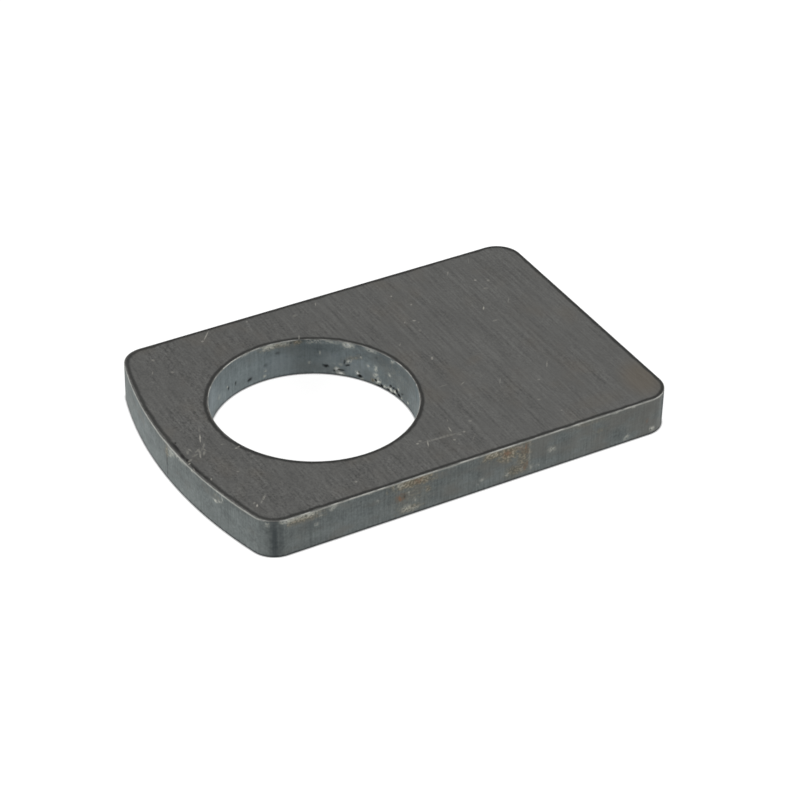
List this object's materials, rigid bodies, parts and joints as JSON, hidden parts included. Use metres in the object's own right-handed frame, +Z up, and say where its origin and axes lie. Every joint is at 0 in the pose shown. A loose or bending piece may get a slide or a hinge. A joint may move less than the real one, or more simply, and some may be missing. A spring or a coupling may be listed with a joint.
{
  "type": "locking plate",
  "caption": "Flat steel plate with a bowed head, a square tail and rounded corners, and a large round pin hole near the bowed end.",
  "frame": {"origin": "middle of the plate's length and width, on the underside that it lies on", "axes": "+X along the plate towards the square end, +Y across it, +Z up through its thickness"},
  "size_m": [0.09, 0.06, 0.008],
  "materials": {
    "steel": "dull dark mill scale, heat tinted along the cut edges, with light rust and scuffs"
  },
  "bodies": {
    "root": {"locking_plate": "steel"}
  },
  "joints": []
}
